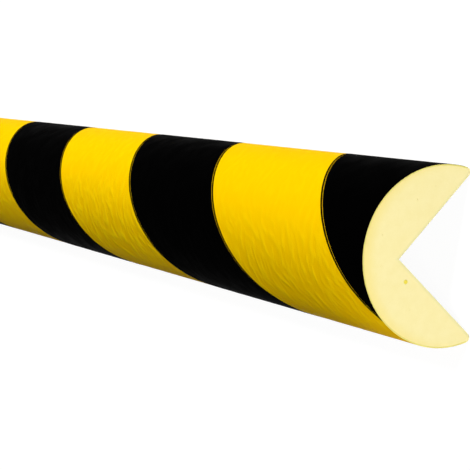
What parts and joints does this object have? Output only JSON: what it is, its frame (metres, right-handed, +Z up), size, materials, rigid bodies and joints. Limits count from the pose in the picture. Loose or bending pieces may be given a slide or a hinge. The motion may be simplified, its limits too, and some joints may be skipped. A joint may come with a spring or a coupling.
{
  "type": "round foam edge protector",
  "caption": "Long straight foam bar with a round back and a right-angled notch that fits over a corner, skinned in yellow with slanting black bands.",
  "frame": {"origin": "middle of the bar's length, under the middle of its width, on the plane that the tips of the two arms rest on", "axes": "+X along the bar, towards the end where the first black band is cut; +Y across the notch; +Z up from the notch through the crown of the round back"},
  "size_m": [1, 0.0402, 0.0266],
  "materials": {
    "foam": "soft closed-cell polyurethane foam, matt",
    "yellow_skin": "thin flexible satin skin",
    "black_film": "thin flexible glossy film"
  },
  "bodies": {
    "root": {"foam_core": "foam", "yellow_skin": "yellow_skin", "black_stripes": "black_film"}
  },
  "joints": []
}
